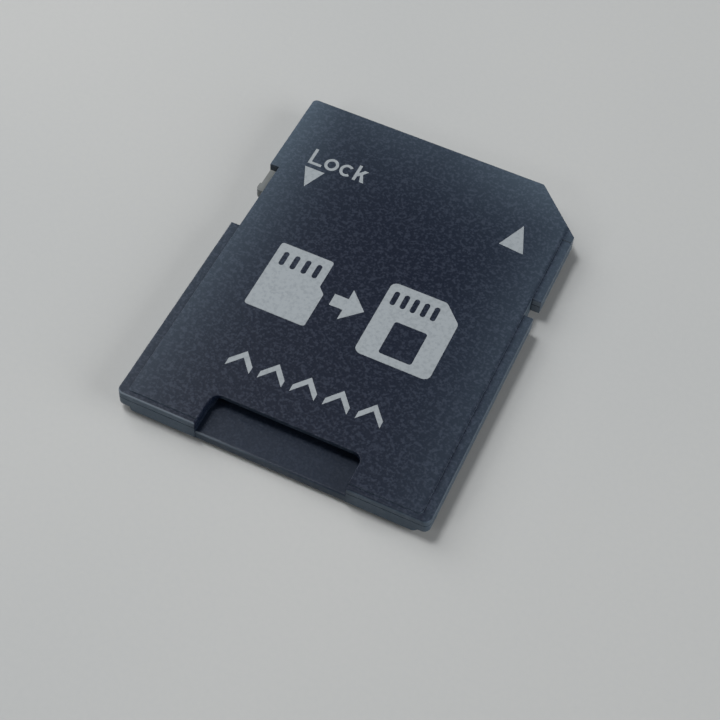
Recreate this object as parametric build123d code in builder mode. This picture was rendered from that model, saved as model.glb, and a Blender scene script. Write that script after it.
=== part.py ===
from build123d import *
import os

os.makedirs("parts", exist_ok=True)

# Memory card adapter: a full-size card case with a slot for one small card
# Millimetres. X crosses the card towards its cut corner, Y runs from the slot end to the contact
# end, Z rises from the resting face. The origin is at the centre of the underside.

# Card outline
card_width = 24.0
card_length = 32.0
card_thickness = 2.1
corner_cut = 4.0
slot_corner_radius = 0.5
contact_corner_radius = 0.4

# Side rails and the narrower underside
rail_inset = 0.75
rail_lift = 0.7
underside_corner_radius = 0.5
underside_edge_radius = 0.12
lead_in = 0.3

# Cover: the shallow lowered rim round the label face, and where the two shells meet
parting_height = 1.4
rim_drop = 0.1
rim_side = 0.75
rim_front = 0.43
rim_corner_radius = 0.3
rim_stop = 0.6
cover_edge_radius = 0.14
label_edge_radius = 0.06
weld_relief = 0.05

# Notches in the long sides: the lock notch and the shorter one across from it
notch_depth = 0.75
lock_notch_start = 7.95
lock_notch_length = 6.55
plain_notch_start = 11.0
plain_notch_length = 1.6

# Slot for the small card
slot_width = 11.3
slot_floor = 0.95
slot_height = 0.8
slot_depth = 15.2
key_width = 1.15
key_length = 6.3
lip_setback = 0.01
lip_radius = 0.15

# Thumb notch at the mouth of the slot
thumb_width = 11.6
thumb_depth = 2.9
thumb_corner_radius = 0.75
thumb_mouth_radius = 0.05

# Contact windows in the underside, with plastic ribs between them, counted from the contact end
rib_width = 0.8
last_rib_width = 0.7
window_front = 1.7
window_length = 3.9
window_front_skin = 0.15
corner_setback = 2.4

# Pads of the terminals: places across the card and how far they run under the window edges.
# The other pads share the width left between these evenly.
last_pad_from_edge = 2.05
last_pad_pitch = 1.7
ground_pad_pitch = 2.425
corner_pad_from_edge = 2.825
even_pad_steps = 6
pad_side_lap = 0.1
pad_front_lap = 0.9
pad_rear_lap = 1.0
strap_width = 0.4
strap_gap = 0.25

# Runs and spring fingers of the terminals
terminal_thickness = 0.15
run_width = 0.5
run_bend_radius = 0.6
fan_end = 1.4
finger_root = 0.3
finger_width = 0.6
finger_pitch = 1.1
finger_group_offset = -0.65
crown_reach = 2.1
crown_lift = 0.22
tip_reach = 2.9
tip_sink = 0.05
finger_bend_radius = 0.25
finger_pocket_margin = 0.3
finger_pocket_depth = 0.5

# Bed and carrier that hold the terminals
bed_wall = 0.65
bed_front_wall = 0.7
bed_margin = 0.4
carrier_thickness = 0.7
carrier_clearance = 0.05
carrier_headroom = 0.03
rivet_diameter = 0.5
rivet_clearance = 0.05
rivet_from_pad_end = 0.5

# Lock slider
slider_length = 2.3
slider_end_gap = 0.45
slider_proud = 0.5
slider_face_gap = 0.05
plate_floor = 1.1
grip_length = 0.75
grip_step = 0.13
grip_radius = 0.1
grip_end_radius = 0.3
channel_wall = 0.4
channel_depth = 0.45
channel_floor = 0.9
channel_height = 0.85
web_height = 0.4
flange_thickness = 0.3
slider_clearance = 0.05

# Spring that holds the small card
spring_thickness = 0.15
spring_height = 0.6
spring_reach = 0.3
spring_length = 5.6
spring_hook = 1.0
spring_pocket_depth = 1.1
spring_pocket_end = 0.2
spring_bend_radius = 0.4
spring_fit = 0.03

# Posts that join the cover to the bottom shell
post_diameter = 1.2
post_length = 0.5
post_clearance = 0.05
post_end_gap = 0.05
post_front = 3.0
post_rear = 13.6

# Places worked out from the sizes above
half_width = card_width / 2
slot_end = -card_length / 2
contact_end = card_length / 2
rim_height = card_thickness - rim_drop
slot_side = slot_width / 2
slot_stop = slot_end + slot_depth
slot_ceiling = slot_floor + slot_height
key_front = slot_stop - key_length
lip_face = slot_end + thumb_mouth_radius + lip_setback
bed_height = rail_lift
terminal_top = bed_height + terminal_thickness
carrier_top = terminal_top + carrier_thickness
notch_back = half_width - notch_depth
lock_notch_top = contact_end - lock_notch_start
lock_notch_bottom = lock_notch_top - lock_notch_length
channel_ceiling = channel_floor + channel_height
channel_middle = channel_floor + channel_height / 2
window_front_y = contact_end - window_front
window_rear_y = window_front_y - window_length
pad_front_y = window_front_y + pad_front_lap
pad_rear_y = window_rear_y - pad_rear_lap
fan_end_y = slot_stop + fan_end
spring_side = slot_side + spring_pocket_depth + spring_hook

# Even spacing of the pads and the windows that the ribs leave over them
pads_span = card_width - last_pad_from_edge - corner_pad_from_edge
pad_pitch = (pads_span - last_pad_pitch - ground_pad_pitch) / even_pad_steps
window_width = pad_pitch - rib_width
last_window_width = last_pad_pitch - last_rib_width

# Pads from the lock side to the cut corner, each with its distance from the one before
pad_steps = {
    "data0": last_pad_pitch,
    "ground": ground_pad_pitch,
    "clock": pad_pitch,
    "supply": pad_pitch,
    "ground_second": pad_pitch,
    "command": pad_pitch,
    "data3": pad_pitch,
    "data2": pad_pitch,
}
pad_x = {"data1": last_pad_from_edge - half_width}
for pad_name, step in pad_steps.items():
    pad_x[pad_name] = list(pad_x.values())[-1] + step

# Fingers in the same order; the second ground pad has none
finger_names = [name for name in pad_x if name != "ground_second"]
finger_x = {}
for place, name in enumerate(finger_names):
    finger_x[name] = finger_group_offset + (place - (len(finger_names) - 1) / 2) * finger_pitch


def window_size(name):
    """Width of the contact window over the named pad."""
    return last_window_width if name in ("data1", "data0") else window_width


def setback(name):
    """How far the named pad stands back for the cut corner."""
    return corner_setback if name == "data2" else 0.0


def draw_block(x0, x1, y0, y1, mode=Mode.ADD):
    """Rectangle between two corners."""
    with Locations(((x0 + x1) / 2, (y0 + y1) / 2)):
        Rectangle(x1 - x0, y1 - y0, mode=mode)


def draw_outline(side_inset=0.0, radius=slot_corner_radius):
    """Card outline with its cut corner, the long sides moved in by side_inset."""
    x = half_width - side_inset
    cut = corner_cut - side_inset
    Polygon(
        (-x, slot_end),
        (x, slot_end),
        (x, contact_end - cut),
        (x - cut, contact_end),
        (-x, contact_end),
        align=None,
    )
    fillet(vertices().group_by(Axis.Y)[0], radius)
    fillet(vertices().group_by(Axis.Y)[-1].sort_by(Axis.X)[0], contact_corner_radius)


def cut_side_notches():
    """Lock notch on one long side and the plain notch on the other."""
    draw_block(-half_width, -notch_back, lock_notch_bottom, lock_notch_top, Mode.SUBTRACT)
    plain_top = contact_end - plain_notch_start
    draw_block(notch_back, half_width, plain_top - plain_notch_length, plain_top, Mode.SUBTRACT)


def draw_thumb_notch(mode=Mode.ADD):
    """Thumb notch at the slot's mouth, with round inner corners and a flare at the very edge."""
    side = thumb_width / 2
    flare = 2 * thumb_mouth_radius
    with BuildSketch(mode=Mode.PRIVATE) as notch:
        draw_block(-side, side, slot_end, slot_end + thumb_depth)
        draw_block(-side - flare, side + flare, slot_end - flare, slot_end)
        fillet(notch.vertices().group_by(Axis.Y)[-1], thumb_corner_radius)
        fillet(notch.vertices().group_by(Axis.Y)[1].sort_by(Axis.X)[1:-1], thumb_mouth_radius)
    add(notch.sketch, mode=mode)


def draw_slot():
    """Slot with its keyed corner, and the pocket and slit of the retention spring beside it."""
    draw_block(-slot_side, slot_side, slot_end, slot_stop)
    draw_block(slot_side - key_width, slot_side, key_front, slot_stop, Mode.SUBTRACT)
    hook_y = key_front - spring_length
    slit = spring_thickness / 2 + spring_fit
    draw_block(slot_side, slot_side + spring_pocket_depth, hook_y - slit, key_front - spring_pocket_end)
    draw_block(spring_side - spring_hook, spring_side + spring_fit, hook_y - slit, hook_y + slit)


def draw_bed(clearance=0.0):
    """Bed of the terminals: wide over the pads, narrowing to the fingers at the slot's end."""
    side = half_width - rail_inset - bed_wall
    front = contact_end - bed_front_wall
    diagonal = half_width + contact_end - corner_cut - bed_front_wall * 2**0.5
    lock_side = finger_x["data1"] - finger_width / 2 - bed_margin
    corner_side = finger_x["data2"] + finger_width / 2 + bed_margin
    with BuildSketch(mode=Mode.PRIVATE) as bed:
        Polygon(
            (-side, pad_rear_y - bed_margin),
            (lock_side, fan_end_y - bed_margin),
            (lock_side, slot_stop),
            (corner_side, slot_stop),
            (corner_side, fan_end_y - bed_margin),
            (side, pad_rear_y - corner_setback - bed_margin),
            (side, diagonal - side),
            (diagonal - front, front),
            (-side, front),
            align=None,
        )
        if clearance:
            offset(amount=-clearance, kind=Kind.INTERSECTION)
    add(bed.sketch)


def draw_channel(inner):
    """Slider channel seen from above: the slit in the notch's back wall, or the room behind it."""
    start = notch_back - channel_wall
    if inner:
        draw_block(-start, channel_depth - start, lock_notch_bottom, lock_notch_top)
    else:
        draw_block(-notch_back, -start, lock_notch_bottom, lock_notch_top)


def post_places():
    """Places of the four joining posts, midway between the spring's pocket and the side notches."""
    x = (spring_side + notch_back) / 2
    return [(side * x, slot_end + y) for side in (-1, 1) for y in (post_front, post_rear)]


# Bottom shell
with BuildPart() as bottom_shell:
    with BuildSketch():
        draw_outline(rail_inset, underside_corner_radius)
    extrude(amount=rail_lift)
    contact_edge = faces().sort_by(Axis.Z)[0].edges().sort_by(Axis.Y)[-1]
    chamfer(contact_edge, lead_in)
    fillet(faces().sort_by(Axis.Z)[0].edges().sort_by(Axis.Y)[:-1], underside_edge_radius)
    with BuildSketch(Plane.XY.offset(rail_lift)):
        draw_outline()
        cut_side_notches()
    extrude(amount=parting_height - rail_lift)

    # Slot, thumb notch and the rounded lip at the mouth
    with BuildSketch(Plane.XY.offset(slot_floor)):
        draw_slot()
        draw_thumb_notch()
    extrude(amount=parting_height - slot_floor, mode=Mode.SUBTRACT)
    with BuildSketch():
        draw_block(-thumb_width / 2, thumb_width / 2, slot_end, lip_face)
    extrude(amount=slot_floor, mode=Mode.SUBTRACT)
    lip_edges = edges().filter_by(Axis.X).filter_by(
        lambda e: abs(e.center().Z - slot_floor) < 1e-4 and abs(e.center().Y - lip_face) < 1e-4
    )
    fillet(lip_edges, lip_radius)

    # Bed of the terminals and the pocket that their fingers bend into
    with BuildSketch(Plane.XY.offset(bed_height)):
        draw_bed()
    extrude(amount=parting_height - bed_height, mode=Mode.SUBTRACT)
    finger_side = finger_width / 2 + finger_pocket_margin
    with BuildSketch(Plane.XY.offset(slot_floor)):
        draw_block(
            finger_x["data1"] - finger_side,
            finger_x["data2"] + finger_side,
            slot_stop - tip_reach - finger_pocket_margin,
            slot_stop,
        )
    extrude(amount=-finger_pocket_depth, mode=Mode.SUBTRACT)

    # Contact windows: open to the contact end, with a skin under the front ends of the pads
    for name, x in pad_x.items():
        half_window = window_size(name) / 2
        rear = window_rear_y - setback(name)
        front = window_front_y - setback(name)
        with BuildSketch():
            draw_block(x - half_window, x + half_window, rear, front)
        extrude(amount=bed_height, mode=Mode.SUBTRACT)
        with BuildSketch():
            draw_block(x - half_window, x + half_window, front, contact_end)
        extrude(amount=bed_height - window_front_skin, mode=Mode.SUBTRACT)

    # Slider channel
    with BuildSketch(Plane.XY.offset(channel_floor)):
        draw_channel(inner=True)
    extrude(amount=parting_height - channel_floor, mode=Mode.SUBTRACT)
    web_floor = channel_middle - web_height / 2 - slider_clearance
    with BuildSketch(Plane.XY.offset(web_floor)):
        draw_channel(inner=False)
    extrude(amount=parting_height - web_floor, mode=Mode.SUBTRACT)

    # Sockets of the joining posts
    with Locations(Plane.XY.offset(parting_height)):
        with Locations(*post_places()):
            Hole(post_diameter / 2 + post_clearance, depth=post_length + post_end_gap)
bottom_shell.part.label = "bottom_shell"
export_step(bottom_shell.part, "parts/bottom_shell.step")


# Top cover
with BuildPart() as top_cover:
    with BuildSketch(Plane.XY.offset(parting_height)):
        draw_outline()
        cut_side_notches()
        draw_thumb_notch(Mode.SUBTRACT)
    extrude(amount=rim_height - parting_height)
    fillet(faces().sort_by(Axis.Z)[-1].edges(), cover_edge_radius)
    chamfer(faces().sort_by(Axis.Z)[0].edges(), weld_relief)

    # Label face, standing above the rim
    with BuildSketch(Plane.XY.offset(parting_height + weld_relief)):
        draw_outline()
        cut_side_notches()
        draw_thumb_notch(Mode.SUBTRACT)
        rim_end = contact_end - corner_cut - rim_stop
        draw_block(-half_width, rim_side - half_width, slot_end, lock_notch_bottom, Mode.SUBTRACT)
        draw_block(half_width - rim_side, half_width, slot_end, rim_end, Mode.SUBTRACT)
        draw_block(-half_width, half_width, slot_end, slot_end + rim_front, Mode.SUBTRACT)
        front_corners = vertices().group_by(Axis.Y)[0].sort_by(Axis.X)
        fillet([front_corners[0], front_corners[-1]], rim_corner_radius)
    extrude(amount=card_thickness - parting_height - weld_relief)
    fillet(faces().sort_by(Axis.Z)[-1].edges(), label_edge_radius)

    # Room for the small card, the carrier and the slider
    with BuildSketch(Plane.XY.offset(parting_height)):
        draw_slot()
    extrude(amount=slot_ceiling - parting_height, mode=Mode.SUBTRACT)
    with BuildSketch(Plane.XY.offset(parting_height)):
        draw_bed()
    extrude(amount=carrier_top + carrier_headroom - parting_height, mode=Mode.SUBTRACT)
    with BuildSketch(Plane.XY.offset(parting_height)):
        draw_channel(inner=True)
    extrude(amount=channel_ceiling - parting_height, mode=Mode.SUBTRACT)
    web_ceiling = channel_middle + web_height / 2 + slider_clearance
    with BuildSketch(Plane.XY.offset(parting_height)):
        draw_channel(inner=False)
    extrude(amount=web_ceiling - parting_height, mode=Mode.SUBTRACT)

    # Joining posts
    with BuildSketch(Plane.XY.offset(parting_height)):
        with Locations(*post_places()):
            Circle(post_diameter / 2)
    extrude(amount=-post_length)
top_cover.part.label = "top_cover"
export_step(top_cover.part, "parts/top_cover.step")


# Lock slider: an outer plate with a grip, a web through the wall and a flange behind it
with BuildPart() as lock_slider:
    slider_top = lock_notch_top - slider_end_gap
    slider_bottom = slider_top - slider_length
    plate_face = -notch_back - slider_proud
    plate_back = -notch_back - slider_face_gap
    with BuildSketch(Plane.XY.offset(plate_floor)):
        draw_block(plate_face, plate_back, slider_bottom, slider_top)
        draw_block(plate_face - grip_step, plate_face, slider_bottom, slider_bottom + grip_length)
        fillet(vertices().group_by(Axis.X)[0].sort_by(Axis.Y)[0], grip_end_radius)
        fillet(vertices().group_by(Axis.X)[0].sort_by(Axis.Y)[-1], grip_radius)
    extrude(amount=rim_height - slider_clearance - plate_floor)
    flange_face = channel_wall - notch_back + slider_clearance
    with BuildSketch(Plane.XY.offset(channel_middle - web_height / 2)):
        draw_block(plate_back, flange_face, slider_bottom, slider_top)
    extrude(amount=web_height)
    with BuildSketch(Plane.XY.offset(channel_floor + slider_clearance)):
        draw_block(flange_face, flange_face + flange_thickness, slider_bottom, slider_top)
    extrude(amount=channel_height - 2 * slider_clearance)
lock_slider.part.label = "lock_slider"
export_step(lock_slider.part, "parts/lock_slider.step")


# Contact carrier: a plate over the terminals, with one rivet pin through each pad
with BuildPart() as contact_carrier:
    with BuildSketch(Plane.XY.offset(terminal_top)):
        draw_bed(carrier_clearance)
    extrude(amount=carrier_thickness)
    with BuildSketch(Plane.XY.offset(bed_height)):
        for name, x in pad_x.items():
            with Locations((x, pad_rear_y - setback(name) + rivet_from_pad_end)):
                Circle(rivet_diameter / 2)
    extrude(amount=terminal_thickness)
contact_carrier.part.label = "contact_carrier"
export_step(contact_carrier.part, "parts/contact_carrier.step")


def draw_pad(name, front):
    """Flat pad behind its contact window, with the hole for its rivet pin."""
    half_pad = window_size(name) / 2 + pad_side_lap
    x = pad_x[name]
    rear = pad_rear_y - setback(name)
    draw_block(x - half_pad, x + half_pad, rear, front)
    with Locations((x, rear + rivet_from_pad_end)):
        Circle(rivet_diameter / 2 + rivet_clearance, mode=Mode.SUBTRACT)


def draw_run(name):
    """Flat strip from the back of a pad to the root of its finger."""
    rear = pad_rear_y - setback(name)
    with BuildLine() as path:
        FilletPolyline(
            (pad_x[name], rear + rivet_from_pad_end),
            (pad_x[name], rear - run_bend_radius / 2),
            (finger_x[name], fan_end_y),
            (finger_x[name], slot_stop),
            radius=run_bend_radius,
        )
    trace(path.line, line_width=run_width)


def make_terminal(name):
    """One stamped terminal: a pad, a run and a spring finger with its crown in the slot."""
    middle = bed_height + terminal_thickness / 2
    beside_strap = name in ("clock", "supply")
    front = pad_front_y - setback(name) - (strap_width + strap_gap if beside_strap else 0)
    with BuildPart() as terminal:
        with BuildSketch(Plane.XY.offset(bed_height)):
            draw_run(name)
            draw_pad(name, front)
            if name == "ground":
                draw_pad("ground_second", front)
                draw_block(pad_x["ground"], pad_x["ground_second"], front - strap_width, front)
        extrude(amount=terminal_thickness)
        with BuildSketch(Plane.YZ.offset(finger_x[name] - finger_width / 2)):
            with BuildLine() as profile:
                FilletPolyline(
                    (fan_end_y, middle),
                    (slot_stop - finger_root, middle),
                    (slot_stop - crown_reach, slot_floor + crown_lift),
                    (slot_stop - tip_reach, slot_floor - tip_sink),
                    radius=finger_bend_radius,
                )
            trace(profile.line, line_width=terminal_thickness)
        extrude(amount=finger_width)
    terminal.part.label = "terminal_" + name
    return terminal.part


# Terminals, one stamping for each line of the small card
for name in finger_names:
    terminal_part = make_terminal(name)
    export_step(terminal_part, "parts/" + terminal_part.label + ".step")


# Retention spring: a hooked leaf beside the slot, bowed into the path of the small card
with BuildPart() as card_retention_spring:
    hook_y = key_front - spring_length
    with BuildSketch(Plane.XY.offset((slot_floor + slot_ceiling - spring_height) / 2)):
        with BuildLine() as leaf:
            FilletPolyline(
                (spring_side, hook_y),
                (spring_side - spring_hook - spring_reach, hook_y),
                (slot_side + spring_reach, hook_y + spring_length / 4),
                (slot_side - spring_reach, key_front - spring_length / 4),
                (slot_side + spring_reach, key_front - 2 * spring_pocket_end),
                radius=spring_bend_radius,
            )
        trace(leaf.line, line_width=spring_thickness)
    extrude(amount=spring_height)
card_retention_spring.part.label = "card_retention_spring"
export_step(card_retention_spring.part, "parts/card_retention_spring.step")
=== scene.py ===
import math

import bmesh
import bpy
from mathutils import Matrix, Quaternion, Vector


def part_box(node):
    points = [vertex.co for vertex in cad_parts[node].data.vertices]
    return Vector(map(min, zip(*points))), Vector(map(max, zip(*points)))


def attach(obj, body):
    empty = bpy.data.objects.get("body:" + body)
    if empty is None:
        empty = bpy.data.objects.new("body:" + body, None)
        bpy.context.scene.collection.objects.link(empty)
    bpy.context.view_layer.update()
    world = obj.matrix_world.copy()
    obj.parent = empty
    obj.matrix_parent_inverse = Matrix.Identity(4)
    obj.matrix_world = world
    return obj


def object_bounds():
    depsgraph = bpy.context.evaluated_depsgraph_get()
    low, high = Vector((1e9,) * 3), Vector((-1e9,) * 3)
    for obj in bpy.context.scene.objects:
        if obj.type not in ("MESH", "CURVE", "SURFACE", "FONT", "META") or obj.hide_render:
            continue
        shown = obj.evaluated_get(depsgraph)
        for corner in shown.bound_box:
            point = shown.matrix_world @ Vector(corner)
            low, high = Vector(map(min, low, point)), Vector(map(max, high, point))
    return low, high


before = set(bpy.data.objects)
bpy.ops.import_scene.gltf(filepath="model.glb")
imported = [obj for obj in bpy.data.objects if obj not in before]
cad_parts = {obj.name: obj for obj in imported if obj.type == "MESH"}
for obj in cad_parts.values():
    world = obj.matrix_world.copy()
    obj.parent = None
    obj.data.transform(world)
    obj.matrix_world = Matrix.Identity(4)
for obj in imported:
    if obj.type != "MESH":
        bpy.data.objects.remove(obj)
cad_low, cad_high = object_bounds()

# Memory card adapter: finishes of the moulded shells, slider, contacts and spring, the white print
# on the label face, and the pale table with its soft light
# The frame is the card's own: X towards the cut corner, Y towards the contact end, Z up from the table.
MM = 0.001

# Label face, from the cover in the frame
label_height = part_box("top_cover")[1].z
card_half_width = cad_high.x
card_half_length = cad_high.y

# Spans of the card over which the shells' colour and painted light change
whole_width = {"From Min": -card_half_width, "From Max": card_half_width}
whole_length = {"From Min": -card_half_length, "From Max": card_half_length}
label_to_slot = {"From Min": label_height, "From Max": label_height / 2}

# Painted sheen on the label face, lighter towards the borders: how steeply it grows, and its share at
# each of them
sheen_falloff = 3.0
sheen_blend = 0.2
sheen_lock_side = 0.73
sheen_plain_side = 0.5
sheen_slot_end = 0.5
sheen_contact_end = 1.3
sheen_end_middle = 0.42
sheen_cut_corner = 1.03

# Share of that painted sheen on the lowered rim, and the depths under the label face between which it
# sets in
rim_lock_side = 0.56
rim_plain_side = 1.03
rim_start_drop = 0.03
rim_full_drop = 0.08

# Foot of the label's step on the side of the plain notch, a painted shadow line kept dark: its distance
# from the border, its reach to either side, and its share of the painted sheen
step_foot_inset = 0.72
step_foot_reach = 0.3
step_foot_share = 0.4

# Floor of the slot: its rubbing, and its share of the pale ridges
slot_floor_rub = 0.135
slot_ridge_share = 0.4

# Outer walls, lightened with painted reflected light: how far outwards a face looks when it starts to
# count as one, and when it fully does
outer_wall_start = 0.6
outer_wall_full = 0.9

# Share of their painted light under the slot, which ends between these parts of the half width
slot_wall_share = 0.5
slot_wall_end = 0.45
full_wall_start = 0.55

# Share of their painted light on the side of the plain notch, reached at this part of the half width
wall_plain_side = 0.86
wall_side_span = 0.5

# Painted highlight on the rounded edges of the slot end: the roundness and the depth under the label
# face that it starts and is full at, and the parts of the half width between which it fades from the
# lock side
edge_start = -0.15
edge_full = -0.4
edge_start_drop = 0.06
edge_full_drop = 0.12
edge_fade_start = -0.6
edge_fade_end = 0.4
edge_falloff = 2.0

# Plain notch, whose walls are painted lighter: parts of the half width between which a wall comes to
# belong to it, and the lean up to which it counts as upright
notch_side_start = 0.935
notch_side_full = 0.95
upright_limit = 0.5

# Grain of the mould: share of the single pits in it, and the height over which its ridges turn pale
pit_share = 0.8
ridge_start = 0.85
ridge_full = 1.13

# Print: thickness of the ink, smoothness of its curves, and strokes of the marks
ink_thickness = 0.006
arc_step = 12.0

# Word beside the lock notch and the arrow under it
word_baseline = 9.5
word_cap_height = 1.64
word_x_height = 1.26
word_stroke = 0.25
letter_l_left = -9.47
letter_l_width = 1.12
letter_o_centre = -7.67
letter_o_width = 1.16
letter_c_centre = -6.38
letter_c_width = 1.12
letter_c_opening = 44.0
letter_k_left = -5.66
letter_k_width = 0.94
letter_k_waist = 0.42
letter_k_branch = 0.2
lock_arrow_left = -9.47
lock_arrow_right = -7.8
lock_arrow_base = 9.1
lock_arrow_tip = 7.13

# Arrow near the cut corner, which points the way into the reader
reader_arrow_tip = (8.14, 11.25)
reader_arrow_left = (7.06, 8.76)
reader_arrow_right = (9.09, 8.59)

# Picture in the middle of the label: small card, arrow, full-size card with its slot
picture_left = -7.6
picture_middle = -1.85
picture_corner_radius = 0.55
small_card_width = 4.9
small_card_height = 6.4
small_card_step = 0.55
small_card_bars = 4
between_arrow_width = 2.6
between_arrow_height = 3.0
between_arrow_shaft = 1.1
picture_gap = 0.75
full_card_width = 5.9
full_card_height = 7.1
full_card_cut = 1.5
full_card_bars = 5
bar_width = 0.42
bar_length = 1.35
bar_margin = 0.7
slot_mark_width = 2.6
slot_mark_height = 3.1

# Row of chevrons over the slot, which point the way in for the small card
chevron_count = 5
chevron_pitch = 2.55
chevron_width = 1.9
chevron_height = 1.75
chevron_stroke = 0.62
chevron_base = -10.6
chevron_centre = -0.2


def linear(hex_colour):
    """Linear red, green, blue and alpha of an sRGB hex colour."""
    values = [int(hex_colour[start : start + 2], 16) / 255 for start in (1, 3, 5)]
    return [v / 12.92 if v <= 0.04045 else ((v + 0.055) / 1.055) ** 2.4 for v in values] + [1.0]


def pattern_scale(size):
    """Texture scale for a pattern whose features are this many millimetres wide."""
    return 1 / (size * MM)


def add_node(tree, kind, inputs=None, **settings):
    """Add a node with its settings; each input, by name or number, is a value or an output to link."""
    node = tree.nodes.new("ShaderNode" + kind)
    for name, value in settings.items():
        setattr(node, name, value)
    for name, value in (inputs or {}).items():
        if isinstance(value, bpy.types.NodeSocket):
            tree.links.new(value, node.inputs[name])
        else:
            node.inputs[name].default_value = value
    return node


def start_finish(name, even):
    """New material; even holds the shader values that are the same all over the surface."""
    material = bpy.data.materials.new(name)
    material.use_nodes = True
    tree = material.node_tree
    tree.nodes.clear()
    shader = add_node(tree, "BsdfPrincipled", even)
    add_node(tree, "OutputMaterial", {"Surface": shader.outputs["BSDF"]})
    place = add_node(tree, "TexCoord").outputs["Object"]
    return material, tree, shader, place


def mould_grain(tree, place):
    """Clusters of erosion pits, and the grain that pits and clusters make together."""
    # Pits 0.18 mm and clusters 0.36 mm wide here, about twice the real ones, so that they show
    pits = add_node(tree, "TexNoise", {"Vector": place, "Scale": pattern_scale(0.18), "Detail": 2.0})
    clusters = add_node(tree, "TexNoise", {"Vector": place, "Scale": pattern_scale(0.36), "Detail": 2.0})
    grain = add_node(
        tree,
        "Math",
        {0: pits.outputs["Fac"], 1: pit_share, 2: clusters.outputs["Fac"]},
        operation="MULTIPLY_ADD",
    )
    return clusters.outputs["Fac"], grain.outputs[0]


def side_sheen(tree, position, from_middle):
    """Painted sheen that grows towards the long sides, most on the lock side and at the contact end."""
    side = add_node(tree, "Math", {0: from_middle, 1: 1 / card_half_width}, operation="MULTIPLY")
    side = add_node(tree, "Math", {0: side.outputs[0], 1: sheen_falloff}, operation="POWER")
    across = add_node(
        tree,
        "MapRange",
        {"Value": position["X"], **whole_width, "To Min": sheen_lock_side, "To Max": sheen_plain_side},
    )
    along = add_node(
        tree,
        "MapRange",
        {"Value": position["Y"], **whole_length, "To Min": sheen_slot_end, "To Max": sheen_contact_end},
    )
    side = add_node(tree, "Math", {0: side.outputs[0], 1: across.outputs[0]}, operation="MULTIPLY")
    side = add_node(tree, "Math", {0: side.outputs[0], 1: along.outputs[0]}, operation="MULTIPLY")
    return side.outputs[0]


def end_sheen(tree, position):
    """Painted sheen that grows towards the contact end, most at the cut corner."""
    end = add_node(
        tree,
        "MapRange",
        {"Value": position["Y"], "From Min": 0.0, "From Max": card_half_length},
    )
    end = add_node(tree, "Math", {0: end.outputs[0], 1: sheen_falloff}, operation="POWER")
    corner = add_node(
        tree,
        "MapRange",
        {
            "Value": position["X"],
            "From Min": 0.0,
            "From Max": card_half_width,
            "To Min": sheen_end_middle,
            "To Max": sheen_cut_corner,
        },
    )
    end = add_node(tree, "Math", {0: end.outputs[0], 1: corner.outputs[0]}, operation="MULTIPLY")
    return end.outputs[0]


def rim_sheen_share(tree, position):
    """Share of the painted sheen on the lowered rim, and the painted shadow line at the foot of the step
    up from it.
    """
    # The rim gets less painted sheen than the label face on the lock side, and as much across from it
    across = add_node(
        tree,
        "MapRange",
        {"Value": position["X"], **whole_width, "To Min": rim_lock_side, "To Max": rim_plain_side},
    )
    rim = add_node(
        tree,
        "MapRange",
        {
            "Value": position["Z"],
            "From Min": label_height - rim_start_drop * MM,
            "From Max": label_height - rim_full_drop * MM,
            "To Min": 1.0,
            "To Max": across.outputs[0],
        },
    )
    # The foot of the step gets less painted sheen: a painted shadow line on the side of the plain notch
    step_foot = card_half_width - step_foot_inset * MM
    foot = add_node(tree, "Math", {0: position["X"], 1: step_foot}, operation="SUBTRACT")
    foot = add_node(tree, "Math", {0: foot.outputs[0]}, operation="ABSOLUTE")
    foot = add_node(
        tree,
        "MapRange",
        {"Value": foot.outputs[0], "From Max": step_foot_reach * MM, "To Min": step_foot_share},
    )
    share = add_node(tree, "Math", {0: rim.outputs[0], 1: foot.outputs[0]}, operation="MULTIPLY")
    return share.outputs[0]


def wall_painted_light(tree, position, from_middle, outward):
    """Painted light of the outer walls, standing in for the table's reflection, the strongest of all,
    less under the slot and on the plain side.
    """
    under_slot = add_node(
        tree,
        "MapRange",
        {
            "Value": from_middle,
            "From Min": slot_wall_end * card_half_width,
            "From Max": full_wall_start * card_half_width,
            "To Min": slot_wall_share,
        },
    )
    wall = add_node(
        tree,
        "MapRange",
        {
            "Value": outward,
            "From Min": outer_wall_start,
            "From Max": outer_wall_full,
            "To Max": under_slot.outputs[0],
        },
    )
    across = add_node(
        tree,
        "MapRange",
        {
            "Value": position["X"],
            "From Min": -wall_side_span * card_half_width,
            "From Max": wall_side_span * card_half_width,
            "To Min": 1.0,
            "To Max": wall_plain_side,
        },
    )
    wall = add_node(tree, "Math", {0: wall.outputs[0], 1: across.outputs[0]}, operation="MULTIPLY")
    return wall.outputs[0]


def painted_light_and_rubbing(tree, position, outward):
    """Painted sheen on the label face and painted reflected light on the walls, with the rubbing of the
    slot floor by cards, from 0 to 1.
    """
    from_middle = add_node(tree, "Math", {0: position["X"]}, operation="ABSOLUTE").outputs[0]
    side = side_sheen(tree, position, from_middle)
    end = end_sheen(tree, position)
    share = rim_sheen_share(tree, position)
    face = add_node(tree, "Math", {0: side, 1: end, 2: sheen_blend}, operation="SMOOTH_MAX")
    face = add_node(tree, "Math", {0: face.outputs[0], 1: share}, operation="MULTIPLY")
    # Floor of the slot, which cards slide over, is worn a little paler all over
    slot = add_node(
        tree,
        "MapRange",
        {"Value": position["Z"], **label_to_slot, "To Max": slot_floor_rub},
    )
    sheen_and_rub = add_node(tree, "Math", {0: face.outputs[0], 1: slot.outputs[0]}, operation="MAXIMUM")
    wall = wall_painted_light(tree, position, from_middle, outward)
    sheen_and_rub = add_node(tree, "Math", {0: sheen_and_rub.outputs[0], 1: wall}, operation="MAXIMUM")
    return sheen_and_rub.outputs[0]


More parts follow.
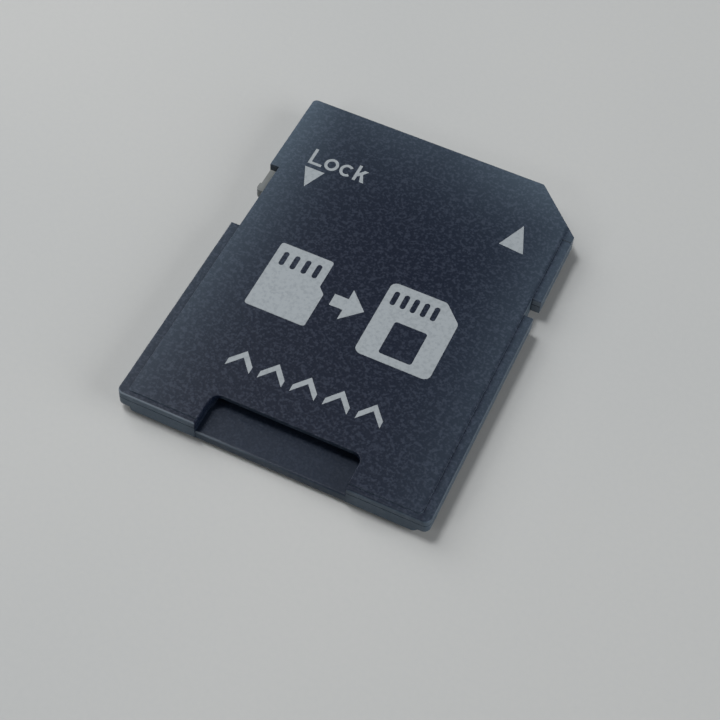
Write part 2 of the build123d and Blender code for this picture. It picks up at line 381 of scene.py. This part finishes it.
def painted_edge_highlight(tree, position, tilt):
    """Painted highlight on the rounded edges of the slot end under the label face, most on the lock
    side.
    """
    rounding = add_node(tree, "Math", {0: tilt["Y"], 1: tilt["Z"]}, operation="MULTIPLY")
    edge = add_node(
        tree,
        "MapRange",
        {"Value": rounding.outputs[0], "From Min": edge_start, "From Max": edge_full},
    )
    under_label = add_node(
        tree,
        "MapRange",
        {
            "Value": position["Z"],
            "From Min": label_height - edge_start_drop * MM,
            "From Max": label_height - edge_full_drop * MM,
        },
    )
    fade = add_node(
        tree,
        "MapRange",
        {
            "Value": position["X"],
            "From Min": edge_fade_start * card_half_width,
            "From Max": edge_fade_end * card_half_width,
            "To Min": 1.0,
            "To Max": 0.0,
        },
    )
    fade = add_node(tree, "Math", {0: fade.outputs[0], 1: edge_falloff}, operation="POWER")
    edge = add_node(tree, "Math", {0: edge.outputs[0], 1: under_label.outputs[0]}, operation="MULTIPLY")
    edge = add_node(tree, "Math", {0: edge.outputs[0], 1: fade.outputs[0]}, operation="MULTIPLY")
    return edge.outputs[0]


def painted_notch_light(tree, position, tilt, outward):
    """Painted light on the walls of the plain notch: upright ones near that side that don't face
    outwards.
    """
    level = add_node(tree, "Math", {0: tilt["Z"]}, operation="ABSOLUTE")
    upright = add_node(
        tree,
        "MapRange",
        {"Value": level.outputs[0], "From Min": upright_limit, "From Max": 0.0},
    )
    within = add_node(tree, "Math", {0: outward, 1: outer_wall_start}, operation="LESS_THAN")
    inner = add_node(tree, "Math", {0: within.outputs[0], 1: upright.outputs[0]}, operation="MULTIPLY")
    notch_side = add_node(
        tree,
        "MapRange",
        {
            "Value": position["X"],
            "From Min": notch_side_start * card_half_width,
            "From Max": notch_side_full * card_half_width,
        },
    )
    notch = add_node(tree, "Math", {0: notch_side.outputs[0], 1: inner.outputs[0]}, operation="MULTIPLY")
    return notch.outputs[0]


def spark_eroded_abs():
    """Navy slate ABS from a spark-eroded mould: dry and grainy, greyer where painted sheen and painted
    light fall, and a little where cards rub the slot floor.
    """
    even = {"IOR": 1.53, "Metallic": 0.0, "Specular IOR Level": 0.17}
    material, tree, shader, place = start_finish("spark_eroded_abs", even)
    clusters, grain = mould_grain(tree, place)
    position = add_node(tree, "SeparateXYZ", {"Vector": place}).outputs
    facing = add_node(tree, "NewGeometry").outputs["Normal"]
    tilt = add_node(tree, "SeparateXYZ", {"Vector": facing}).outputs
    # How far a face looks away from the middle of the card
    outward = add_node(
        tree,
        "VectorMath",
        {0: place, 1: (1 / card_half_width, 1 / card_half_length, 0.0)},
        operation="MULTIPLY",
    )
    outward = add_node(tree, "VectorMath", {0: outward.outputs[0], 1: facing}, operation="DOT_PRODUCT")
    outward = outward.outputs["Value"]
    # Navy to slate grey: the grey is painted sheen and painted reflected light, and on the slot floor
    # real rubbing
    body = add_node(
        tree,
        "Mix",
        {0: painted_light_and_rubbing(tree, position, outward), 6: linear("#000a20"), 7: linear("#4b5966")},
        data_type="RGBA",
    )
    # The ridges between pits are paler, except in the slot, which is moulded smoother
    ridge_share = add_node(
        tree,
        "MapRange",
        {"Value": position["Z"], **label_to_slot, "To Min": 1.0, "To Max": slot_ridge_share},
    )
    ridge = add_node(
        tree,
        "MapRange",
        {
            "Value": grain,
            "From Min": ridge_start,
            "From Max": ridge_full,
            "To Max": ridge_share.outputs[0],
        },
    )
    colour = add_node(
        tree,
        "VectorMath",
        {0: ridge.outputs[0], 1: linear("#282b32")[:3], 2: body.outputs[2]},
        operation="MULTIPLY_ADD",
    )
    edge = painted_edge_highlight(tree, position, tilt)
    notch = painted_notch_light(tree, position, tilt, outward)
    painted_pale = add_node(tree, "Math", {0: edge, 1: notch}, operation="MAXIMUM")
    # Pale grey for the painted edge highlight and the painted light on the plain notch's walls
    colour = add_node(
        tree,
        "Mix",
        {0: painted_pale.outputs[0], 6: colour.outputs[0], 7: linear("#6b757f")},
        data_type="RGBA",
    )
    dryness = add_node(
        tree,
        "MapRange",
        {"Value": clusters, "From Min": 0.3, "From Max": 0.7, "To Min": 0.46, "To Max": 0.36},
    )
    bump = add_node(tree, "Bump", {"Height": grain, "Strength": 1.0, "Distance": 0.008 * MM})
    tree.links.new(colour.outputs[2], shader.inputs["Base Color"])
    tree.links.new(dryness.outputs[0], shader.inputs["Roughness"])
    tree.links.new(bump.outputs[0], shader.inputs["Normal"])
    return material


def pad_printed_ink():
    """White pad-printing ink: matt, a little uneven, thin where it bridges the grain of the plastic."""
    even = {"IOR": 1.48, "Metallic": 0.0}
    material, tree, shader, place = start_finish("pad_printed_ink", even)
    grain = add_node(tree, "TexNoise", {"Vector": place, "Scale": pattern_scale(0.25), "Detail": 3.0})
    thin = add_node(
        tree,
        "MapRange",
        {"Value": grain.outputs["Fac"], "From Min": 0.42, "From Max": 0.72},
        interpolation_type="SMOOTHSTEP",
    )
    colour = add_node(
        tree,
        "Mix",
        {0: thin.outputs[0], 6: linear("#979ea3"), 7: linear("#8b9297")},
        data_type="RGBA",
    )
    dryness = add_node(
        tree,
        "MapRange",
        {"Value": grain.outputs["Fac"], "To Min": 0.5, "To Max": 0.7},
    )
    bump = add_node(
        tree,
        "Bump",
        {"Height": grain.outputs["Fac"], "Strength": 0.4, "Distance": 0.003 * MM},
    )
    tree.links.new(colour.outputs[2], shader.inputs["Base Color"])
    tree.links.new(dryness.outputs[0], shader.inputs["Roughness"])
    tree.links.new(bump.outputs[0], shader.inputs["Normal"])
    return material


def natural_acetal():
    """Uncoloured moulded acetal: waxy off-white, slightly see-through, with faint flow marks."""
    even = {
        "IOR": 1.48,
        "Metallic": 0.0,
        "Subsurface Weight": 0.25,
        "Subsurface Radius": (0.9, 0.8, 0.6),
        "Subsurface Scale": 0.35 * MM,
    }
    material, tree, shader, place = start_finish("natural_acetal", even)
    flow = add_node(tree, "TexNoise", {"Vector": place, "Scale": pattern_scale(0.6), "Detail": 3.0})
    colour = add_node(
        tree,
        "Mix",
        {0: flow.outputs["Fac"], 6: linear("#65696a"), 7: linear("#717575")},
        data_type="RGBA",
    )
    gloss = add_node(tree, "MapRange", {"Value": flow.outputs["Fac"], "To Min": 0.32, "To Max": 0.5})
    fine = add_node(tree, "TexNoise", {"Vector": place, "Scale": pattern_scale(0.1), "Detail": 2.0})
    bump = add_node(
        tree,
        "Bump",
        {"Height": fine.outputs["Fac"], "Strength": 0.4, "Distance": 0.003 * MM},
    )
    tree.links.new(colour.outputs[2], shader.inputs["Base Color"])
    tree.links.new(gloss.outputs[0], shader.inputs["Roughness"])
    tree.links.new(bump.outputs[0], shader.inputs["Normal"])
    return material


def glass_filled_polyester():
    """Black glass-filled polyester, as moulded: a dull face with pale short fibres near the surface."""
    even = {"IOR": 1.57, "Metallic": 0.0}
    material, tree, shader, place = start_finish("glass_filled_polyester", even)
    # Fibres along the flow, 0.05 mm thick here and 0.3 mm long, coarser than real ones so that they show
    stretched = add_node(tree, "Mapping", {"Vector": place, "Scale": (6.0, 1.0, 6.0)})
    fibres = add_node(
        tree,
        "TexNoise",
        {"Vector": stretched.outputs[0], "Scale": pattern_scale(0.3), "Detail": 2.0},
    )
    shown = add_node(
        tree,
        "MapRange",
        {"Value": fibres.outputs["Fac"], "From Min": 0.58, "From Max": 0.75, "To Max": 0.35},
    )
    colour = add_node(
        tree,
        "Mix",
        {0: shown.outputs[0], 6: linear("#17181a"), 7: linear("#55585b")},
        data_type="RGBA",
    )
    dryness = add_node(tree, "MapRange", {"Value": fibres.outputs["Fac"], "To Min": 0.5, "To Max": 0.7})
    tree.links.new(colour.outputs[2], shader.inputs["Base Color"])
    tree.links.new(dryness.outputs[0], shader.inputs["Roughness"])
    return material


def gold_flashed_bronze():
    """Rolled phosphor bronze with a gold flash: warm metal, fine rolling lines, duller in streaks."""
    even = {"Metallic": 1.0}
    material, tree, shader, place = start_finish("gold_flashed_bronze", even)
    # Rolling and wiping lines along the card, about 0.04 mm apart and 1 mm long
    stretched = add_node(tree, "Mapping", {"Vector": place, "Scale": (25.0, 1.0, 25.0)})
    lines = add_node(
        tree,
        "TexNoise",
        {"Vector": stretched.outputs[0], "Scale": pattern_scale(1.0), "Detail": 3.0},
    )
    tarnish = add_node(tree, "TexNoise", {"Vector": place, "Scale": pattern_scale(1.4), "Detail": 3.0})
    dull = add_node(
        tree,
        "MapRange",
        {"Value": tarnish.outputs["Fac"], "From Min": 0.4, "From Max": 0.7},
        interpolation_type="SMOOTHSTEP",
    )
    colour = add_node(
        tree,
        "Mix",
        {0: dull.outputs[0], 6: linear("#e0b468"), 7: linear("#c2924d")},
        data_type="RGBA",
    )
    gloss = add_node(tree, "MapRange", {"Value": lines.outputs["Fac"], "To Min": 0.18, "To Max": 0.42})
    bump = add_node(
        tree,
        "Bump",
        {"Height": lines.outputs["Fac"], "Strength": 0.4, "Distance": 0.002 * MM},
    )
    tree.links.new(colour.outputs[2], shader.inputs["Base Color"])
    tree.links.new(gloss.outputs[0], shader.inputs["Roughness"])
    tree.links.new(bump.outputs[0], shader.inputs["Normal"])
    return material


def stainless_spring_strip():
    """Cold-rolled stainless strip: cool grey metal with fine lines along the strip."""
    even = {"Metallic": 1.0}
    material, tree, shader, place = start_finish("stainless_spring_strip", even)
    stretched = add_node(tree, "Mapping", {"Vector": place, "Scale": (1.0, 1.0, 20.0)})
    lines = add_node(
        tree,
        "TexNoise",
        {"Vector": stretched.outputs[0], "Scale": pattern_scale(0.8), "Detail": 3.0},
    )
    colour = add_node(
        tree,
        "Mix",
        {0: lines.outputs["Fac"], 6: linear("#a9aaa8"), 7: linear("#c3c4c2")},
        data_type="RGBA",
    )
    gloss = add_node(tree, "MapRange", {"Value": lines.outputs["Fac"], "To Min": 0.22, "To Max": 0.42})
    tree.links.new(colour.outputs[2], shader.inputs["Base Color"])
    tree.links.new(gloss.outputs[0], shader.inputs["Roughness"])
    return material


def matt_table_top():
    """Pale matt table: fine paper-like grain about 0.4 mm wide and a slow drift in tone."""
    even = {"IOR": 1.45, "Metallic": 0.0, "Roughness": 0.85, "Specular IOR Level": 0.2}
    material, tree, shader, place = start_finish("matt_table_top", even)
    grain = add_node(tree, "TexNoise", {"Vector": place, "Scale": pattern_scale(0.4), "Detail": 4.0})
    drift = add_node(tree, "TexNoise", {"Vector": place, "Scale": pattern_scale(40.0), "Detail": 1.0})
    tone = add_node(
        tree,
        "Math",
        {0: grain.outputs["Fac"], 1: 0.35, 2: drift.outputs["Fac"]},
        operation="MULTIPLY_ADD",
    )
    share = add_node(tree, "MapRange", {"Value": tone.outputs[0], "From Min": 0.4, "From Max": 0.95})
    colour = add_node(
        tree,
        "Mix",
        {0: share.outputs[0], 6: linear("#b9bbbb"), 7: linear("#c0c1c0")},
        data_type="RGBA",
    )
    bump = add_node(
        tree,
        "Bump",
        {"Height": grain.outputs["Fac"], "Strength": 0.15, "Distance": 0.01 * MM},
    )
    tree.links.new(colour.outputs[2], shader.inputs["Base Color"])
    tree.links.new(bump.outputs[0], shader.inputs["Normal"])
    return material


def dress(names, material):
    """Give the CAD nodes their finish."""
    for name in names:
        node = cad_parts[name]
        node.data.materials.clear()
        node.data.materials.append(material)


def arc(centre, radius_x, radius_y, start, end):
    """Points on an arc from one angle to another, in degrees."""
    steps = max(2, round(abs(end - start) / arc_step))
    points = []
    for step in range(steps + 1):
        angle = math.radians(start + (end - start) * step / steps)
        points.append((centre[0] + radius_x * math.cos(angle), centre[1] + radius_y * math.sin(angle)))
    return points


def ring(centre, radius_x, radius_y):
    """Closed oval."""
    return arc(centre, radius_x, radius_y, 0, 360)[:-1]


def rounded(corners, radius):
    """Outline through the corners, anticlockwise, each rounded by an arc of the radius."""
    points = []
    for index, corner in enumerate(corners):
        here = Vector(corner)
        before = (Vector(corners[index - 1]) - here).normalized()
        after = (Vector(corners[(index + 1) % len(corners)]) - here).normalized()
        half_angle = before.angle(after) / 2
        centre = here + (before + after).normalized() * radius / math.sin(half_angle)
        turn = 180 - 2 * math.degrees(half_angle)
        convex = before.cross(after) < 0
        first = here + before * radius / math.tan(half_angle) - centre
        start = math.degrees(math.atan2(first.y, first.x))
        points += arc(centre, radius, radius, start, start + (turn if convex else -turn))
    return points


def block(left, right, low, high):
    """Outline of a rectangle."""
    return [(left, low), (right, low), (right, high), (left, high)]


def print_mark(name, outlines):
    """Solid film of ink on the label face; outlines inside another one are holes in it."""
    curve = bpy.data.curves.new(name, "CURVE")
    curve.dimensions = "2D"
    curve.fill_mode = "BOTH"
    curve.extrude = ink_thickness * MM / 2
    for outline in outlines:
        spline = curve.splines.new("POLY")
        spline.points.add(len(outline) - 1)
        spline.use_cyclic_u = True
        for point, (x, y) in zip(spline.points, outline):
            point.co = (x * MM, y * MM, 0, 1)
    flat = bpy.data.objects.new(name + "_outline", curve)
    mesh = bpy.data.meshes.new_from_object(flat)
    bpy.data.objects.remove(flat)
    joined = bmesh.new()
    joined.from_mesh(mesh)
    bmesh.ops.remove_doubles(joined, verts=joined.verts, dist=0.0001 * MM)
    bmesh.ops.recalc_face_normals(joined, faces=joined.faces)
    for vertex in joined.verts:
        vertex.co.z += label_height + curve.extrude
    joined.to_mesh(mesh)
    joined.free()
    mesh.name = name
    mark = bpy.data.objects.new(name, mesh)
    mark.data.materials.append(ink)
    bpy.context.scene.collection.objects.link(mark)
    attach(mark, "root")


def letter_l():
    """Capital L."""
    left, right = letter_l_left, letter_l_left + letter_l_width
    top = word_baseline + word_cap_height
    return [
        (left, word_baseline),
        (right, word_baseline),
        (right, word_baseline + word_stroke),
        (left + word_stroke, word_baseline + word_stroke),
        (left + word_stroke, top),
        (left, top),
    ]


def letter_c():
    """Small c: an open oval ring."""
    centre = (letter_c_centre, word_baseline + word_x_height / 2)
    half_width, half_height = letter_c_width / 2, word_x_height / 2
    start, end = letter_c_opening, 360 - letter_c_opening
    outer = arc(centre, half_width, half_height, start, end)
    inner = arc(centre, half_width - word_stroke, half_height - word_stroke, end, start)
    return outer + inner


def letter_k():
    """Small k: a stem with two arms."""
    left, right = letter_k_left, letter_k_left + letter_k_width
    stem = left + word_stroke
    top = word_baseline + word_cap_height
    waist = word_baseline + word_x_height * letter_k_waist
    branch = stem + letter_k_width * letter_k_branch
    return [
        (left, word_baseline),
        (stem, word_baseline),
        (stem, waist - word_stroke * 0.35),
        (branch, waist + word_stroke * 0.45),
        (right - word_stroke * 1.2, word_baseline),
        (right + 0.04, word_baseline),
        (branch + word_stroke * 0.72, waist + word_stroke * 1.15),
        (right, word_baseline + word_x_height),
        (right - word_stroke * 1.35, word_baseline + word_x_height),
        (stem, waist + word_stroke * 1.2),
        (stem, top),
        (left, top),
    ]


def print_lock_marks():
    """Word Lock and the arrow towards the locked end."""
    centre = (letter_o_centre, word_baseline + word_x_height / 2)
    half_width, half_height = letter_o_width / 2, word_x_height / 2
    print_mark("print_lock_l", [letter_l()])
    print_mark(
        "print_lock_o",
        [
            ring(centre, half_width, half_height),
            ring(centre, half_width - word_stroke, half_height - word_stroke),
        ],
    )
    print_mark("print_lock_c", [letter_c()])
    print_mark("print_lock_k", [letter_k()])
    tip = ((lock_arrow_left + lock_arrow_right) / 2, lock_arrow_tip)
    base_left, base_right = (lock_arrow_left, lock_arrow_base), (lock_arrow_right, lock_arrow_base)
    print_mark("print_lock_arrow", [[base_left, tip, base_right]])
    print_mark("print_reader_arrow", [[reader_arrow_left, reader_arrow_right, reader_arrow_tip]])


def contact_bars(left, right, top, count):
    """Row of round-ended bars left open in a card, evenly spread across it."""
    pitch = (right - left) / count
    bars = []
    for index in range(count):
        middle = left + pitch * (index + 0.5)
        bar = block(middle - bar_width / 2, middle + bar_width / 2, top - bar_length, top)
        bars.append(rounded(bar, bar_width * 0.49))
    return bars


def print_card_picture():
    """Small card, arrow and full-size card with its slot, in one row."""
    left = picture_left
    right = left + small_card_width
    low = picture_middle - small_card_height / 2
    high = picture_middle + small_card_height / 2
    shoulder = picture_middle + small_card_height * 0.1
    body = [
        (left, low),
        (right, low),
        (right, shoulder - small_card_step),
        (right - small_card_step, shoulder),
        (right - small_card_step, high),
        (left, high),
    ]
    bars_left = left + bar_margin / 2
    bars_right = right - small_card_step - bar_margin / 2
    bars = contact_bars(bars_left, bars_right, high - bar_margin, small_card_bars)
    print_mark("print_small_card", [rounded(body, small_card_step * 0.45)] + bars)

    left = right + picture_gap
    right = left + between_arrow_width
    neck = right - between_arrow_height / 2
    half_shaft, half_head = between_arrow_shaft / 2, between_arrow_height / 2
    arrow = [
        (left, picture_middle - half_shaft),
        (neck, picture_middle - half_shaft),
        (neck, picture_middle - half_head),
        (right, picture_middle),
        (neck, picture_middle + half_head),
        (neck, picture_middle + half_shaft),
        (left, picture_middle + half_shaft),
    ]
    print_mark("print_way_in_arrow", [arrow])

    left = right + picture_gap
    right = left + full_card_width
    low = picture_middle - full_card_height / 2
    high = picture_middle + full_card_height / 2
    body = [
        (left, low),
        (right, low),
        (right, high - full_card_cut),
        (right - full_card_cut, high),
        (left, high),
    ]
    bars_left, bars_right = left + bar_margin / 2, right - full_card_cut
    bars = contact_bars(bars_left, bars_right, high - bar_margin, full_card_bars)
    slot_left = (left + right - slot_mark_width) / 2
    slot_low = low + bar_margin
    slot_mark = block(slot_left, slot_left + slot_mark_width, slot_low, slot_low + slot_mark_height)
    outlines = [rounded(body, picture_corner_radius), rounded(slot_mark, bar_width * 0.49)]
    print_mark("print_full_card", outlines + bars)


def print_chevrons():
    """Row of chevrons over the slot."""
    for index in range(chevron_count):
        middle = chevron_centre + (index - (chevron_count - 1) / 2) * chevron_pitch
        left, right = middle - chevron_width / 2, middle + chevron_width / 2
        top = chevron_base + chevron_height
        shape = [
            (left, chevron_base),
            (middle, top - chevron_stroke),
            (right, chevron_base),
            (right, chevron_base + chevron_stroke),
            (middle, top),
            (left, chevron_base + chevron_stroke),
        ]
        print_mark(f"print_chevron_{index + 1}", [shape])


# Finishes of the pieces
shell_finish = spark_eroded_abs()
ink = pad_printed_ink()
terminal_names = [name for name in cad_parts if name.startswith("terminal_")]
dress(["bottom_shell", "top_cover"], shell_finish)
dress(["lock_slider"], natural_acetal())
dress(["contact_carrier"], glass_filled_polyester())
dress(["card_retention_spring"], stainless_spring_strip())
dress(terminal_names, gold_flashed_bronze())

# Print on the label face
print_lock_marks()
print_card_picture()
print_chevrons()

# Table, a hair under the card so that they don't share a plane
table_half_size = 180 * MM
table_drop = 0.02 * MM
table_mesh = bpy.data.meshes.new("table_top")
corners = [(x * table_half_size, y * table_half_size, -table_drop) for x, y in block(-1, 1, -1, 1)]
table_mesh.from_pydata(corners, [], [(0, 1, 2, 3)])
table_mesh.materials.append(matt_table_top())
table = bpy.data.objects.new("table_top", table_mesh)
bpy.context.scene.collection.objects.link(table)


def soft_lamp(name, azimuth, elevation, distance, size, power):
    """Square soft lamp that faces the card; azimuth turns from +X towards +Y."""
    light = bpy.data.lights.new(name, "AREA")
    light.shape = "SQUARE"
    light.size = size * MM
    light.energy = power
    lamp = bpy.data.objects.new(name, light)
    turn, rise = math.radians(azimuth), math.radians(elevation)
    towards = Vector((math.cos(turn) * math.cos(rise), math.sin(turn) * math.cos(rise), math.sin(rise)))
    lamp.location = towards * distance * MM
    lamp.rotation_mode = "QUATERNION"
    lamp.rotation_quaternion = towards.to_track_quat("Z", "Y")
    bpy.context.scene.collection.objects.link(lamp)


soft_lamp("window_light", azimuth=170, elevation=70, distance=350, size=80, power=0.545)
soft_lamp("left_fill", azimuth=160, elevation=40, distance=350, size=260, power=0.52)
soft_lamp("right_fill", azimuth=0, elevation=20, distance=350, size=260, power=0.735)
soft_lamp("front_light", azimuth=240, elevation=30, distance=350, size=80, power=0.12)

# Light of the room: walls as pale as the table, so that they meet softly, under a dim ceiling
ceiling_start = 0.15
ceiling_full = 0.7
room_light_share = 0.35
world = bpy.data.worlds.new("room_light")
world.use_nodes = True
world_tree = world.node_tree
world_tree.nodes.clear()
direction = add_node(world_tree, "TexCoord").outputs["Generated"]
height = add_node(world_tree, "SeparateXYZ", {"Vector": direction}).outputs["Z"]
overhead = add_node(
    world_tree,
    "MapRange",
    {"Value": height, "From Min": ceiling_start, "From Max": ceiling_full},
    interpolation_type="SMOOTHSTEP",
)
room_colour = add_node(
    world_tree,
    "Mix",
    {0: overhead.outputs[0], 6: linear("#bebfbf"), 7: linear("#6f7377")},
    data_type="RGBA",
)
# Full tone where the camera, a gloss or a clear part shows the room, and a softer one as light
ray = add_node(world_tree, "LightPath").outputs
seen = add_node(
    world_tree,
    "Math",
    {0: ray["Is Camera Ray"], 1: ray["Is Glossy Ray"]},
    operation="MAXIMUM",
)
seen = add_node(
    world_tree,
    "Math",
    {0: seen.outputs[0], 1: ray["Is Transmission Ray"]},
    operation="MAXIMUM",
)
strength = add_node(world_tree, "MapRange", {"Value": seen.outputs[0], "To Min": room_light_share})
room = add_node(
    world_tree,
    "Background",
    {"Color": room_colour.outputs[2], "Strength": strength.outputs[0]},
)
add_node(world_tree, "OutputWorld", {"Surface": room.outputs[0]})
bpy.context.scene.world = world

# Camera, where the photographer held it
camera_azimuth = 20.677
camera_elevation = 54.403
camera_roll = 5.099
camera_distance = 116.156
camera_aim = (1.665, -4.499, 0.0)
camera_lens = 79.288
camera_sensor = 36.0
camera_data = bpy.data.cameras.new("camera")
camera_data.lens = camera_lens
camera_data.sensor_width = camera_sensor
camera_data.clip_start = 1 * MM
camera_data.clip_end = 5.0
camera = bpy.data.objects.new("camera", camera_data)
turn, rise = math.radians(camera_azimuth), math.radians(camera_elevation)
away = Vector((math.sin(turn) * math.cos(rise), -math.cos(turn) * math.cos(rise), math.sin(rise)))
camera.location = (Vector(camera_aim) + away * camera_distance) * MM
camera.rotation_mode = "QUATERNION"
upright = (-away).to_track_quat("-Z", "Y")
camera.rotation_quaternion = upright @ Quaternion((0, 0, 1), math.radians(camera_roll))
bpy.context.scene.collection.objects.link(camera)
bpy.context.scene.camera = camera
bpy.context.scene.view_settings.view_transform = "Standard"
